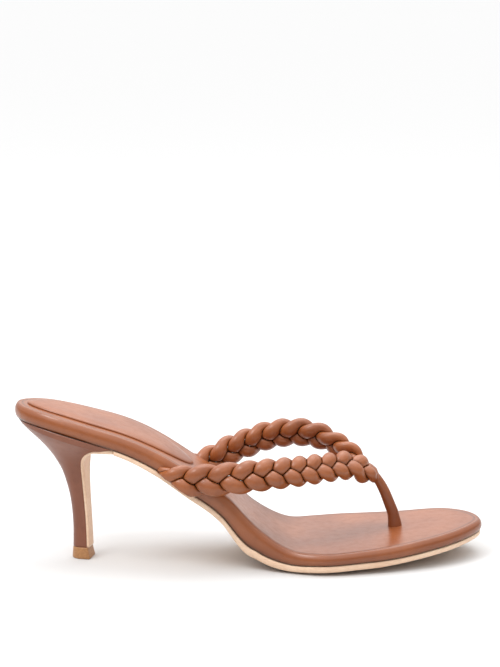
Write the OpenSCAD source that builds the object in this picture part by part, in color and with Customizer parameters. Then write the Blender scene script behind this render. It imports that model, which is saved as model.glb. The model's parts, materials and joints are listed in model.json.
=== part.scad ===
// Heeled thong sandal with plaited straps, right foot.
// Millimetres. +X runs from the heel to the toe, +Y to the inner side of the foot, +Z up.
// The origin is on the ground under the middle of the sandal.

/* [Sole outline] */
// Length of the last, which the outline and the side profile are drawn from
sole_length = 231; // [215:1:260]
// Width across the ball of the foot
ball_width = 80.4; // [70:0.2:92]
// Width across the heel seat
seat_width = 48.6; // [44:0.2:56]
// Width of the waist, under the arch
waist_width = 47.4; // [42:0.2:52]

/* [Side profile] */
// Height of the footbed at its lowest point, at the ball
ball_top = 10.6; // [10.2:0.1:10.8]
// Rise of the footbed from the ball to the back of the heel
seat_rise = 68.7; // [62:0.1:73]
// Rise of the footbed from the ball to the toe tip
toe_spring = 7.7; // [5:0.1:9]

/* [Layers] */
// Thickness of the wrapped footbed at the back of the heel
wall_heel = 7.6; // [7:0.1:9]
// Thickness of the wrapped footbed at the arch
wall_arch = 9.5; // [9:0.1:10]
// Thickness of the wrapped footbed at the ball and toe
wall_ball = 5.8; // [5.6:0.1:6.4]
// Thickness of the outsole under the arch
outsole_arch = 2.3; // [2:0.1:3]
// Thickness of the outsole under the ball, where it is thickest
outsole_ball = 5; // [4.8:0.1:5.2]
// Thickness of the leather that wraps the footbed
leather = 1; // [0.8:0.1:1.2]
// Thickness of the insole board
board = 2; // [1.5:0.1:2.4]
// Thickness of the foam under the footbed leather
foam = 1.6; // [1:0.1:2]

/* [Heel] */
// Height of the top piece that the heel stands on
top_piece_height = 5.8; // [4:0.2:8]
// Thickness of the leather around the heel
heel_leather = 0.9; // [0.7:0.1:1.2]
// Turn of the heel stem about the upright, in degrees
stem_turn = -12; // [-15:1:0]

/* [Straps] */
// How far each strand swings to either side of the strap's middle
plait_swing = 4.6; // [4:0.1:5]
// How far each strand rises and dips as it crosses another
plait_rise = 2.1; // [2:0.1:2.4]
// Radius of the toe post
post_radius = 2.7; // [2.3:0.1:3]

/* [Hidden] */

fit = 0.05;            // gap between pieces that are glued or pressed together
past = 2;              // how far a cutting shape reaches past what it cuts
reach = 150;           // larger than half the sandal in any direction
outline_steps = 5;     // straight pieces between two points of the outline
profile_steps = 4;     // straight pieces between two points of the side profile
flex_x = 38;           // where the sole bends when the foot rolls forward
flex_gap = 0.25;       // half the gap between the rear and the forepart at the bend
breast_x = -66;        // where the outsole meets the leather down the front of the heel
margin_width = 9;      // leather turned under the edge of the footbed
half_length = sole_length / 2;
half_ball = ball_width / 2;
half_seat = seat_width / 2;
half_waist = waist_width / 2;
waist_shift = -3;      // the waist lies towards the outer side
tan_leather = "sienna";
dark_leather = "saddlebrown";
pale_leather = "navajowhite";
steel = "silver";

// A point on the smooth curve between b and c, with neighbours a and d
function between(a, b, c, d, t) =
    0.5 * (2 * b + (c - a) * t + (2 * a - 5 * b + 4 * c - d) * t * t
        + (3 * b - a - 3 * c + d) * t * t * t);

// A closed smooth curve through the points
function closed_curve(points, steps) = let (n = len(points)) [
    for (i = [0 : n - 1], s = [0 : steps - 1])
        between(points[(i + n - 1) % n], points[i], points[(i + 1) % n], points[(i + 2) % n],
            s / steps)
];

// An open smooth curve through the points
function open_curve(points, steps) = let (last = len(points) - 1) [
    for (i = [0 : last - 1], s = [0 : steps - 1])
        between(points[max(i - 1, 0)], points[i], points[i + 1], points[min(i + 2, last)],
            s / steps),
    points[last]
];

// A closed outline moved inwards by a distance
function inset(outline, distance) = let (n = len(outline)) [
    for (i = [0 : n - 1])
        let (along = outline[(i + 1) % n] - outline[(i + n - 1) % n], size = norm(along))
            outline[i] + distance * [-along.y, along.x] / size
];

// Outline of the footbed from above, from the back of the heel round the outer side to the toe
outline_points = [
    [-half_length, 1.6],
    [-0.48 * sole_length, -0.43 * half_seat],
    [-0.425 * sole_length, -0.8 * half_seat],
    [-0.335 * sole_length, -half_seat],
    [-0.235 * sole_length, waist_shift - half_waist],
    [-0.12 * sole_length, waist_shift - half_waist],
    [-0.03 * sole_length, waist_shift - half_waist],
    [0.06 * sole_length, -0.82 * half_ball],
    [0.155 * sole_length, -0.98 * half_ball],
    [0.25 * sole_length, -0.9 * half_ball],
    [0.345 * sole_length, -0.725 * half_ball],
    [0.425 * sole_length, -0.49 * half_ball],
    [0.48 * sole_length, -0.19 * half_ball],
    [0.5045 * sole_length, 0.11 * half_ball],
    [0.484 * sole_length, 0.5 * half_ball],
    [0.43 * sole_length, 0.79 * half_ball],
    [0.345 * sole_length, 0.895 * half_ball],
    [0.26 * sole_length, 0.975 * half_ball],
    [0.175 * sole_length, 0.995 * half_ball],
    [0.08 * sole_length, 0.83 * half_ball],
    [-0.02 * sole_length, waist_shift + 1.11 * half_waist],
    [-0.12 * sole_length, waist_shift + half_waist],
    [-0.235 * sole_length, 0.985 * half_seat],
    [-0.335 * sole_length, half_seat],
    [-0.425 * sole_length, 0.835 * half_seat],
    [-0.48 * sole_length, 0.505 * half_seat]
];
outline = closed_curve(outline_points, outline_steps);

// Side profile: place along the sandal, height of the footbed, thickness of the wrapped footbed
// and thickness of the outsole
profile_points = [
    [-half_length - past, ball_top + seat_rise, wall_heel, outsole_arch],
    [-0.433 * sole_length, ball_top + 0.957 * seat_rise, wall_heel, outsole_arch],
    [-0.346 * sole_length, ball_top + 0.882 * seat_rise, wall_heel, outsole_arch],
    [-0.26 * sole_length, ball_top + 0.797 * seat_rise, wall_heel, outsole_arch],
    [-0.19 * sole_length, ball_top + 0.689 * seat_rise, wall_heel + 0.3, outsole_arch + 0.5],
    [-0.121 * sole_length, ball_top + 0.545 * seat_rise, wall_arch - 0.8, outsole_arch + 0.7],
    [-0.052 * sole_length, ball_top + 0.388 * seat_rise, wall_arch, outsole_arch + 0.8],
    [0.013 * sole_length, ball_top + 0.169 * seat_rise, wall_arch, outsole_ball - 1.4],
    [0.082 * sole_length, ball_top + 0.022 * seat_rise, wall_ball + 1.3, outsole_ball - 0.6],
    [0.147 * sole_length, ball_top, wall_ball, outsole_ball],
    [0.225 * sole_length, ball_top + 0.1 * toe_spring, wall_ball, outsole_ball - 0.9],
    [0.312 * sole_length, ball_top + 0.3 * toe_spring, wall_ball + 0.5, outsole_ball - 2],
    [0.4 * sole_length, ball_top + 0.62 * toe_spring, wall_ball + 0.5, outsole_ball - 2.1],
    [half_length + 3, ball_top + toe_spring, wall_ball + 0.2, outsole_ball - 2.7]
];
profile = open_curve(profile_points, profile_steps);
profile_last = len(profile) - 1;

// Unit vector square to the profile at point i, pointing down into the sole
function down_at(i) = let (
    along = profile[min(i + 1, profile_last)] - profile[max(i - 1, 0)],
    flat = [along.x, along.y],
    size = norm(flat)
) [flat.y, -flat.x] / size;

// Point of the profile, moved down into the sole: share 0 is the top of the footbed, share 1
// the bottom of the wrapped footbed and share 2 the bottom of the outsole, plus extra millimetres
function layer_point(i, share, extra) = let (
    deep = min(share, 1) * profile[i][2] + max(share - 1, 0) * profile[i][3] + extra
) [profile[i].x, profile[i].y] + deep * down_at(i);

// Height of the footbed, and thickness of the wrapped footbed, at a place along the sandal
function footbed_z(x) = lookup(x, [for (p = profile) [p.x, p.y]]);
function wall_at(x) = lookup(x, [for (p = profile) [p.x, p[2]]]);

// Side view of the band between two depths
module band_side(share_top, extra_top, share_low, extra_low) {
    polygon(concat(
        [for (i = [0 : profile_last]) layer_point(i, share_top, extra_top)],
        [for (i = [profile_last : -1 : 0]) layer_point(i, share_low, extra_low)]
    ));
}

// The band between two depths, across the whole width
module band(share_top, extra_top, share_low, extra_low) {
    rotate([90, 0, 0]) linear_extrude(2 * reach, center = true)
        band_side(share_top, extra_top, share_low, extra_low);
}

// Upright prism of the outline, moved inwards
module outline_prism(distance) {
    translate([0, 0, -past]) linear_extrude(reach) polygon(inset(outline, distance));
}

// One layer of the sole
module layer(distance, share_top, extra_top, share_low, extra_low) {
    intersection() {
        outline_prism(distance);
        band(share_top, extra_top, share_low, extra_low);
    }
}

// Everything between two places along the sandal and above the ground
module between_x(from_x, to_x) {
    translate([from_x, -reach, 0]) cube([to_x - from_x, 2 * reach, reach]);
}

// Whatever is drawn, behind the bend or in front of it
module rear_part() {
    intersection() {
        children();
        between_x(-reach, flex_x - flex_gap);
    }
}
module fore_part() {
    intersection() {
        children();
        between_x(flex_x + flex_gap, reach);
    }
}

// Height of a depth under the footbed at a place along the sandal
function under_z(x, depth) = let (slope = (footbed_z(x + 1) - footbed_z(x - 1)) / 2)
    footbed_z(x) - depth * sqrt(1 + slope * slope);

// The point at a depth square to the footbed, under a spot on it
function on_normal(spot, depth) = let (slope = (footbed_z(spot.x + 1) - footbed_z(spot.x - 1)) / 2)
    [spot.x, spot.y, footbed_z(spot.x)] + depth * [slope, 0, -1] / sqrt(1 + slope * slope);

// A round bar from one point to another
module bar(from, to, radius) {
    span = to - from;
    translate(from)
        rotate([0, acos(span.z / norm(span)), atan2(span.y, span.x)])
            cylinder(h = norm(span), r = radius, $fn = 32);
}

// ---- Strap anchors: the flat ends of the straps, tacked up under the insole ----
lateral_anchor = [-33, -24];
medial_anchor = [-31, 18];
tab_length = 20;
tab_reach = 9;        // how far a tab goes in from the edge of the sole
tack_radius = 0.6;
tack_length = 2.6;
tack_spacing = 8;
tack_spots = [for (anchor = [lateral_anchor, medial_anchor], side = [-1, 1])
    [anchor.x + side * tack_spacing / 2, anchor.y - sign(anchor.y) * tab_reach / 2]];

// Upright prism over an anchor tab
module tab_space(anchor, grow) {
    inner = anchor.y - sign(anchor.y) * tab_reach;
    low_y = anchor.y < 0 ? -half_ball : inner;
    high_y = anchor.y < 0 ? inner : half_ball;
    translate([anchor.x - tab_length / 2 - grow, low_y - grow, 0])
        cube([tab_length + 2 * grow, high_y - low_y + 2 * grow, reach]);
}

// Bars for the tacks, or for their holes, which reach lower and higher
module tack_bars(radius, lower, higher) {
    for (spot = tack_spots)
        translate([spot.x, spot.y, under_z(spot.x, wall_at(spot.x) - leather / 2) - lower])
            cylinder(h = tack_length + lower + higher, r = radius, $fn = 24);
}

module anchor_tab(anchor) {
    color(dark_leather) difference() {
        intersection() {
            layer(leather + fit, 1, -leather, 1, -fit);
            tab_space(anchor, 0);
        }
        tack_bars(tack_radius + fit, past, past);
    }
}

module lateral_anchor_tab() anchor_tab(lateral_anchor);

module medial_anchor_tab() anchor_tab(medial_anchor);

module anchor_tacks() {
    color(steel) tack_bars(tack_radius, 0, 0);
}

// ---- Toe post seat ----
post_foot = [73.3, 7.6];       // where the toe post meets the footbed
post_slot_radius = 3.4;
anchor_disc_radius = 6;
anchor_disc_thick = 0.9;
anchor_disc_room = 1.5; // gap round the disc, in the cork

// ---- Sole layers, from the footbed down ----
cover_depth = leather;
foam_depth = leather + foam;
board_depth = leather + foam + board;

// The leather that wraps the footbed: top sheet, side wall and turned margin
module footbed_cover() {
    difference() {
        layer(0, 0, 0, 1, 0);
        layer(leather, 0, leather, 1, -leather);
        layer(margin_width, 1, -leather - past, 1, past);
        tab_space_cut(lateral_anchor);
        tab_space_cut(medial_anchor);
        post_slot();
    }
}

// Room for an anchor tab in the turned margin, open at the edge where the strap comes out
module tab_space_cut(anchor) {
    intersection() {
        layer(leather, 1, -leather - fit, 1, past);
        tab_space(anchor, 2 * fit);
    }
}

// The hole that the toe post goes down through
module post_slot() {
    translate([post_foot.x, post_foot.y, 0]) cylinder(h = reach, r = post_slot_radius, $fn = 48);
}

module footbed_cover_rear() {
    color(tan_leather) rear_part() footbed_cover();
}

module footbed_cover_forepart() {
    color(tan_leather) fore_part() footbed_cover();
}

module footbed_foam() {
    difference() {
        layer(leather + fit, 0, cover_depth + fit, 0, foam_depth);
        post_slot();
    }
}

module footbed_foam_rear() {
    color("khaki") rear_part() footbed_foam();
}

module footbed_foam_forepart() {
    color("khaki") fore_part() footbed_foam();
}

module insole_board() {
    difference() {
        layer(leather + fit, 0, foam_depth + fit, 0, board_depth);
        post_slot();
        rivet_bars(rivet_radius + fit, past);
        heel_screw_hole();
        nail_bars(nail_radius + fit);
    }
}

module insole_board_rear() {
    color("tan") rear_part() insole_board();
}

module insole_board_forepart() {
    color("tan") fore_part() insole_board();
}

// Cork filler between the turned margins, under the insole board and in front of the shank board
filler_x = 14;
filler_toe_x = 0.44 * sole_length;

module bottom_filler() {
    difference() {
        intersection() {
            layer(margin_width + fit, 0, board_depth + fit, 1, -fit);
            between_x(filler_x + fit, filler_toe_x);
        }
        translate([post_foot.x, post_foot.y, 0])
            cylinder(h = reach, r = anchor_disc_radius + anchor_disc_room, $fn = 48);
    }
}

module bottom_filler_rear() {
    color("peru") rear_part() bottom_filler();
}

module bottom_filler_forepart() {
    color("peru") fore_part() bottom_filler();
}

// Disc that holds the bottom of the toe post, under the insole board
module toe_post_anchor() {
    high = on_normal(post_foot, board_depth + 0.3);
    low = on_normal(post_foot, board_depth + 0.3 + anchor_disc_thick);
    color(dark_leather) bar(low, high, anchor_disc_radius);
}

// Leather outsole, from the front of the heel to the toe, flat where it stands on the ground
module outsole() {
    intersection() {
        layer(0, 1, fit, 2, 0);
        between_x(breast_x, reach);
    }
}

module outsole_rear() {
    color(pale_leather) rear_part() outsole();
}

module outsole_forepart() {
    color(pale_leather) fore_part() outsole();
}

// ---- Heel pad: a raised, tongue-shaped pad on the footbed ----
pad_height = 1.9;
pad_skin = 0.8;
pad_points = [
    [-109.5, 0.5], [-105, -7], [-96, -12], [-82, -15.5], [-66, -17.8], [-50, -17.8], [-38, -15],
    [-31, -10.5], [-27.5, -4],
    [-30, 3], [-38, 9.5], [-50, 14], [-66, 16.8], [-82, 16.5], [-96, 13], [-105, 8]
];
pad_outline = closed_curve(pad_points, outline_steps);

// Part of the pad, as a band between two heights over the footbed
module pad_layer(distance, low, high) {
    intersection() {
        linear_extrude(reach) polygon(inset(pad_outline, distance));
        band(0, -high, 0, -low);
    }
}

module heel_pad_cover() {
    color(tan_leather) difference() {
        pad_layer(0, fit, pad_height);
        pad_layer(pad_skin, 0, pad_height - pad_skin);
    }
}

module heel_pad_foam() {
    color("khaki") pad_layer(pad_skin + fit, fit, pad_height - pad_skin - fit);
}

// ---- Shank: stiffener of the waist ----
shank_width = 12;
shank_back_x = -96;
shank_front_x = 8;
shank_thick = 1.2;
rivet_radius = 1.8;
rivet_spots = [-60, -8];       // the rear rivet also stands clear of the heel screw
shank_depth = board_depth + fit;

module shank_shape(grow) {
    intersection() {
        band(0, shank_depth - grow, 0, shank_depth + shank_thick + grow);
        translate([shank_back_x - grow, waist_shift / 2 - shank_width / 2 - grow, 0])
            cube([shank_front_x - shank_back_x + 2 * grow, shank_width + 2 * grow, reach]);
    }
}

module shank() {
    color(steel) difference() {
        shank_shape(0);
        rivet_bars(rivet_radius + fit, past);
        heel_screw_hole();
    }
}

// Bars square to the footbed for the rivets, or for their holes
module rivet_bars(radius, extra) {
    for (x = rivet_spots)
        bar(on_normal([x, waist_shift / 2], foam_depth + fit + 0.3 - extra),
            on_normal([x, waist_shift / 2], shank_depth + shank_thick + extra), radius);
}

module shank_rivets() {
    color(steel) rivet_bars(rivet_radius, 0);
}

// Moulded board under the rear of the insole board, with a groove for the shank
module shank_board() {
    color("burlywood") difference() {
        intersection() {
            outline_prism(leather + fit);
            rotate([90, 0, 0]) linear_extrude(2 * reach, center = true) intersection() {
                band_side(0, board_depth + fit, 1, -leather - fit);
                translate([-reach, 0]) square([reach + filler_x, reach]);
            }
        }
        shank_shape(fit);
        rivet_bars(rivet_radius + fit, past);
        heel_screw_hole();
        nail_bars(nail_radius + fit);
        tack_bars(tack_radius + fit, past, fit);
    }
}

// ---- Heel ----
// Each section: back end x and z, front end x and z, half width, turn, and the share of the
// section that is rounded
heel_sections = [
    [-87.6, top_piece_height + fit, -79.6, top_piece_height + fit, 4.6, stem_turn, 0.6],
    [-87.6, 18, -80, 18, 4.4, stem_turn, 0.6],
    [-88.9, 31, -80.7, 30, 4.8, stem_turn, 0.6],
    [-92.2, 43.2, -81.3, 41, 6.3, 0.9 * stem_turn, 0.62],
    [-96.2, 51, -81.4, 47.5, 8.9, 0.75 * stem_turn, 0.66],
    [-100.4, 56.8, -80.9, 52.1, 12.2, 0.55 * stem_turn, 0.7],
    [-105, 61.7, -79.1, 55.4, 16, 0.35 * stem_turn, 0.75],
    [-109.8, 66.2, -76.4, 57.7, 20, 0.15 * stem_turn, 0.8],
    [-113.1, 69.7, -73, 58.5, 23, 0, 0.83],
    [-114, 75.5, -73, 64, 23.6, 0, 0.85],
    [-114, 87, -73, 75, 23.6, 0, 0.85]
];
// Section whose front end is the thin wing that runs forward over the outsole's end
wing_section = [-114, 75.5, -66.4, 59.2, 24, 0, 0.78];
flap_sections = 9;    // heel sections, from the ground up, that the breast flap covers
curve_sides = 9;      // points on each half of the round back of the heel
breast_skin = 1.2;
stem_shift = -2;      // the foot of the heel lies this far to the outer side of the seat
seat_z = 70;          // height at which the heel has no such shift

// One point of a heel section: along runs from the back, 0, to the front, in millimetres
function heel_point(section, along, across) = let (
    back = [section[0], 0, section[1]],
    front = [section[2], 0, section[3]],
    middle = (back + front) / 2,
    spot = back + along / norm(front - back) * (front - back) - middle,
    turn = section[5],
    shift = stem_shift * max(0, 1 - middle.z / seat_z)
) middle + [0, shift, 0] + [
    spot.x * cos(turn) - across * sin(turn),
    spot.x * sin(turn) + across * cos(turn),
    spot.z
];

function heel_section_length(section) =
    norm([section[2] - section[0], section[3] - section[1]]);

// Outline of one heel section, moved inwards by the skin
function heel_ring(section, skin) = let (
    size = heel_section_length(section),
    round = section[6] * size,
    half = section[4] - skin
) concat(
    [heel_point(section, size - skin, -half)],
    [for (i = [0 : 2 * curve_sides])
        let (angle = 90 * (i - curve_sides) / curve_sides)
            heel_point(section, round - (round - skin) * cos(angle), half * sin(angle))],
    [heel_point(section, size - skin, half)]
);

// A solid through closed rings that all have the same number of points
module loft(rings) {
    count = len(rings[0]);
    last = len(rings) - 1;
    points = [for (ring = rings) each ring];
    walls = [for (i = [0 : last - 1], j = [0 : count - 1])
        let (a = i * count + j, b = i * count + (j + 1) % count)
            each [[a, a + count, b], [b, a + count, b + count]]];
    bottom = [for (j = [0 : count - 1]) j];
    top = [for (j = [count - 1 : -1 : 0]) last * count + j];
    polyhedron(points, concat(walls, [bottom, top]), convexity = 6);
}

// A pipe between outer rings and inner rings that match them point for point
module tube(outer, inner) {
    count = len(outer[0]);
    last = len(outer) - 1;
    inside = len(outer) * count;
    points = [for (ring = concat(outer, inner)) each ring];
    walls = [for (i = [0 : last - 1], j = [0 : count - 1])
        let (a = i * count + j, b = i * count + (j + 1) % count)
            each [
                [a, a + count, b], [b, a + count, b + count],
                [inside + a, inside + b, inside + a + count],
                [inside + b, inside + b + count, inside + a + count]
            ]];
    ends = [for (j = [0 : count - 1])
        let (a = j, b = (j + 1) % count, c = last * count + a, d = last * count + b)
            each [
                [a, b, inside + b], [a, inside + b, inside + a],
                [c, inside + d, d], [c, inside + c, inside + d]
            ]];
    polyhedron(points, concat(walls, ends), convexity = 6);
}

// Everything under the wrapped footbed
module under_footbed() {
    rotate([90, 0, 0]) linear_extrude(2 * reach, center = true)
        polygon(concat(
            [for (i = [0 : profile_last]) layer_point(i, 1, fit)],
            [[reach, -past], [-reach, -past]]
        ));
}

dowel_radius = 1.7;
dowel_bore_radius = 1.1;
dowel_middle = [-84.1, -1.4];
dowel_top = 44;
pin_top = 24;

module dowel_bar(radius, low, high) {
    translate([dowel_middle.x, dowel_middle.y, low])
        cylinder(h = high - low, r = radius, $fn = 48);
}

screw_top = [-90, 0, 0];
screw_foot_z = 48;
screw_radius = 1.8;
nail_radius = 0.7;
nail_length = 8;
nail_spots = [[-98, -5], [-98, 5], [-86, -10], [-86, 10]];

// Screw that ties the sole to the heel, from the insole board down into the heel core
module heel_screw_bar(radius, extra) {
    high = under_z(screw_top.x, foam_depth) - 0.3;
    translate([screw_top.x, screw_top.y, screw_foot_z - extra])
        cylinder(h = high - screw_foot_z + 2 * extra, r = radius, $fn = 32);
}

module heel_screw_hole() {
    heel_screw_bar(screw_radius + fit, fit + 0.3);
}

module heel_screw() {
    color(steel) heel_screw_bar(screw_radius, 0);
}

module nail_bars(radius) {
    for (spot = nail_spots)
        let (high = under_z(spot.x, foam_depth) - 0.3)
            translate([spot.x, spot.y, high - nail_length])
                cylinder(h = nail_length + (radius > nail_radius ? 1 : 0), r = radius, $fn = 24);
}

module heel_nails() {
    color(steel) nail_bars(nail_radius);
}

module heel_core() {
    color("gainsboro") difference() {
        intersection() {
            loft([for (section = heel_sections) heel_ring(section, heel_leather + fit)]);
            under_footbed();
        }
        dowel_bar(dowel_radius + fit, 0, dowel_top + fit);
        heel_screw_hole();
        translate([0, 0, -fit]) nail_bars(nail_radius + fit);
    }
}

// A ring of points moved up or down to the underside of the wrapped footbed
function up_to_footbed(ring) = [for (p = ring) [p.x, p.y, under_z(p.x, wall_at(p.x) + fit)]];

// Rings of the heel, moved inwards by the skin, that end under the wrapped footbed at the section
function heel_rings(skin, end_section) = concat(
    [for (i = [0 : flap_sections - 1]) heel_ring(heel_sections[i], skin)],
    [up_to_footbed(heel_ring(end_section, skin))]
);

// Leather wrapped right round the core, with its seam under the breast flap, and solid at the wing
module heel_cover() {
    color(tan_leather)
        tube(heel_rings(0, wing_section), heel_rings(heel_leather, heel_sections[flap_sections]));
}

breast_sections = concat([for (i = [0 : flap_sections - 1]) heel_sections[i]], [wing_section]);

// One point of the breast flap, square to the front of the heel by a distance
function breast_point(i, distance, across) = let (
    section = breast_sections[i],
    lower = breast_sections[max(i - 1, 0)],
    upper = breast_sections[min(i + 1, flap_sections)],
    rise = [upper[2] - lower[2], upper[3] - lower[3]] / norm([upper[2] - lower[2], upper[3] - lower[3]]),
    turn = section[5]
) heel_point(section, heel_section_length(section), across)
    + distance * [rise.y * cos(turn), rise.y * sin(turn), -rise.x];

// Pale leather that carries on from the outsole, under the wing and down the front of the heel
module heel_breast_flap() {
    color(pale_leather) loft([for (i = [0 : flap_sections])
        let (
            section = breast_sections[i],
            thick = lookup(section[2], [[heel_sections[7][2], breast_skin], [breast_x, outsole_arch]]),
            half = section[4] - 0.3
        )
            [
                breast_point(i, thick, -half),
                breast_point(i, fit, -half),
                breast_point(i, fit, half),
                breast_point(i, thick, half)
            ]]);
}

// Steel tube that stiffens the thin stem
module heel_dowel() {
    color(steel) difference() {
        dowel_bar(dowel_radius, top_piece_height + fit, dowel_top);
        dowel_bar(dowel_bore_radius, 0, pin_top);
    }
}

// Steel pin that holds the top piece in the dowel
module top_piece_pin() {
    color(steel) dowel_bar(dowel_bore_radius - fit, top_piece_height / 3, pin_top - 1);
}

// The heel's replaceable foot, a little wider at the ground than at the stem
module top_piece() {
    foot = [[-88.1, 0, -77.9, 0, 5.4, stem_turn, 0.55],
        [-87.7, top_piece_height, -79.2, top_piece_height, 4.9, stem_turn, 0.6]];
    color("peru") difference() {
        loft([for (section = foot) heel_ring(section, 0)]);
        dowel_bar(dowel_bore_radius, top_piece_height / 3 - fit, reach);
    }
}

// ---- Straps ----
// Middle line of each strap from the sole to the knot: x, y and z, then how far the strap leans
// in over the foot and how far the plait has turned, both in degrees
lateral_line = [
    [-37, -30.6, 46.6, 6, -190], [-27, -30.8, 46, 8, -85], [-15, -31.2, 46.6, 12, 36],
    [-3, -31, 47.7, 17, 165], [9, -28.2, 48.4, 22, 318], [20, -23, 48.2, 27, 471],
    [30, -16.4, 47.8, 32, 624], [40, -9, 47.3, 36, 777], [47, -3.4, 46.8, 40, 893],
    [52, 0.3, 45.5, 44, 963]
];
medial_line = [
    [-33.5, 25, 40.4, 6, -206], [-26, 25.6, 39.2, 8, -105], [-18.5, 26.4, 42.6, 11, -5],
    [-9.5, 28.4, 47.2, 15, 116], [1, 30, 51.2, 19, 262], [10, 30.5, 54.3, 23, 380],
    [20, 29.8, 56.1, 26, 510], [29, 27.7, 56.4, 30, 622], [37, 24.6, 55, 34, 726],
    [44, 20.8, 52.3, 39, 821], [51.5, 15.9, 48.9, 44, 946]
];
strap_steps = 14;
strand_half_width = 2.1;
strand_half_thick = 1.25;
strand_ring_sides = 8;
ring_every = 3;       // points of the route from one ring to the next

function point_of(spot) = [spot[0], spot[1], spot[2]];

// Unit vector along the route at point i
function route_along(route, i) = let (
    way = point_of(route[min(i + 1, len(route) - 1)]) - point_of(route[max(i - 1, 0)])
) way / norm(way);

// Unit vector across the strap's width, leaning inwards over the foot; side is 1 or -1
function route_across(route, i, side) = let (
    along = route_along(route, i),
    level = side * cross([0, 0, 1], along),
    inward = level / norm(level),
    upright = [0, 0, 1] - along.z * along,
    lean = route[i][3],
    way = cos(lean) * upright / norm(upright) + sin(lean) * inward
) way / norm(way);

// Rings of one strand of the plait; place is the strand's place in the pattern, in degrees
function strand_rings(route, side, place) = [
    for (i = [0 : ring_every : len(route) - 1])
        let (
            last = len(route) - 1,
            phase = route[i][4] + place,
            along = route_along(route, i),
            across = route_across(route, i, side),
            out = cross(along, across),
            turned = route[min(i + 1, last)][4] - route[max(i - 1, 0)][4],
            run = norm(point_of(route[min(i + 1, last)]) - point_of(route[max(i - 1, 0)])),
            slant = plait_swing * cos(phase) * turned / run * PI / 180,
            way = along + slant * across,
            middle = point_of(route[i]) + plait_swing * sin(phase) * across
                + plait_rise * sin(2 * phase) * out,
            wide = cross(way / norm(way), out)
        )
            [for (j = [0 : strand_ring_sides - 1])
                let (angle = 360 * j / strand_ring_sides)
                    middle + strand_half_width * cos(angle) * wide
                        + strand_half_thick * sin(angle) * out]
];

lateral_route = open_curve(lateral_line, strap_steps);
medial_route = open_curve(medial_line, strap_steps);

module strand(route, side, place) {
    color(tan_leather) loft(strand_rings(route, side, place));
}

module lateral_strand_a() strand(lateral_route, 1, 0);
module lateral_strand_b() strand(lateral_route, 1, 120);
module lateral_strand_c() strand(lateral_route, 1, 240);
module medial_strand_a() strand(medial_route, -1, 0);
module medial_strand_b() strand(medial_route, -1, 120);
module medial_strand_c() strand(medial_route, -1, 240);

// ---- Collar and toe post ----
post_line = [
    [73.3, 7.6, 14.6], [72.4, 7.6, 20], [70.3, 7.5, 25.4], [67.8, 7.5, 30.4], [65.4, 7.4, 34.4]
];
post_steps = 3;
post_sides = 16;
post_route = open_curve(post_line, post_steps);

// Rings round the toe post
function post_rings(radius) = let (last = len(post_route) - 1) [
    for (i = [0 : last])
        let (
            way = post_route[min(i + 1, last)] - post_route[max(i - 1, 0)],
            along = way / norm(way),
            side = cross([0, 1, 0], along) / norm(cross([0, 1, 0], along)),
            front = cross(along, side)
        )
            [for (j = [0 : post_sides - 1])
                let (angle = 360 * j / post_sides)
                    post_route[i] + radius * (cos(angle) * front + sin(angle) * side)]
];

module toe_post_cover() {
    color(tan_leather) tube(post_rings(post_radius), post_rings(post_radius - leather));
}

module toe_post_cord() {
    color("wheat") loft(post_rings(post_radius - leather - fit));
}

// Leather wrapped round the strap ends where they join the toe post
module braid_collar() {
    color(tan_leather) hull() {
        translate([57.4, 4.6, 43.6]) sphere(r = 3, $fn = 20);
        translate([57.2, 11.4, 45]) sphere(r = 3, $fn = 20);
        translate([61.4, 7.8, 39.9]) sphere(r = 3.2, $fn = 20);
    }
}

outsole_rear();
outsole_forepart();
insole_board_rear();
insole_board_forepart();
bottom_filler_rear();
bottom_filler_forepart();
footbed_foam_rear();
footbed_foam_forepart();
footbed_cover_rear();
footbed_cover_forepart();
heel_pad_cover();
heel_pad_foam();
shank_board();
shank();
shank_rivets();
heel_core();
heel_cover();
heel_breast_flap();
heel_dowel();
heel_screw();
heel_nails();
top_piece();
top_piece_pin();
lateral_anchor_tab();
medial_anchor_tab();
anchor_tacks();
toe_post_anchor();
lateral_strand_a();
lateral_strand_b();
lateral_strand_c();
medial_strand_a();
medial_strand_b();
medial_strand_c();
braid_collar();
toe_post_cover();
toe_post_cord();
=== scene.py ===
"""Looks of the heeled thong sandal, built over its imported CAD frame.

Lengths in the tables are millimetres and are turned into metres when a mesh is made.
"""
import json
import math

import bmesh
import bpy
import numpy as np
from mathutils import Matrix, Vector


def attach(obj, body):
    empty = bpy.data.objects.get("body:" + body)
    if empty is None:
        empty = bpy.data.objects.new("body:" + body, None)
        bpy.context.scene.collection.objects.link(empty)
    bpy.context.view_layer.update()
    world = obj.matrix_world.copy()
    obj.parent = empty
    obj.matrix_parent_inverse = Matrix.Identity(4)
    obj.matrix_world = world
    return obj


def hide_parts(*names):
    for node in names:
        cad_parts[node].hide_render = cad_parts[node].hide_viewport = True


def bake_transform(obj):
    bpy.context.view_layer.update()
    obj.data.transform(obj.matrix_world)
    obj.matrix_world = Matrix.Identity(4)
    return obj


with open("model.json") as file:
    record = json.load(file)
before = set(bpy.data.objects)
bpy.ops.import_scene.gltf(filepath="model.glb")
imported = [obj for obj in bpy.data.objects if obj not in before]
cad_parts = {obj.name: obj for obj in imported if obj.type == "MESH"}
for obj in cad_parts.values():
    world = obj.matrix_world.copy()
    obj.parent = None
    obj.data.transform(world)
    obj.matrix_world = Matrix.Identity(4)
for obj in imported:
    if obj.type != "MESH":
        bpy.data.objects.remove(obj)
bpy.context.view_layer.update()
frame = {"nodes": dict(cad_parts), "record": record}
MM = 0.001

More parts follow.
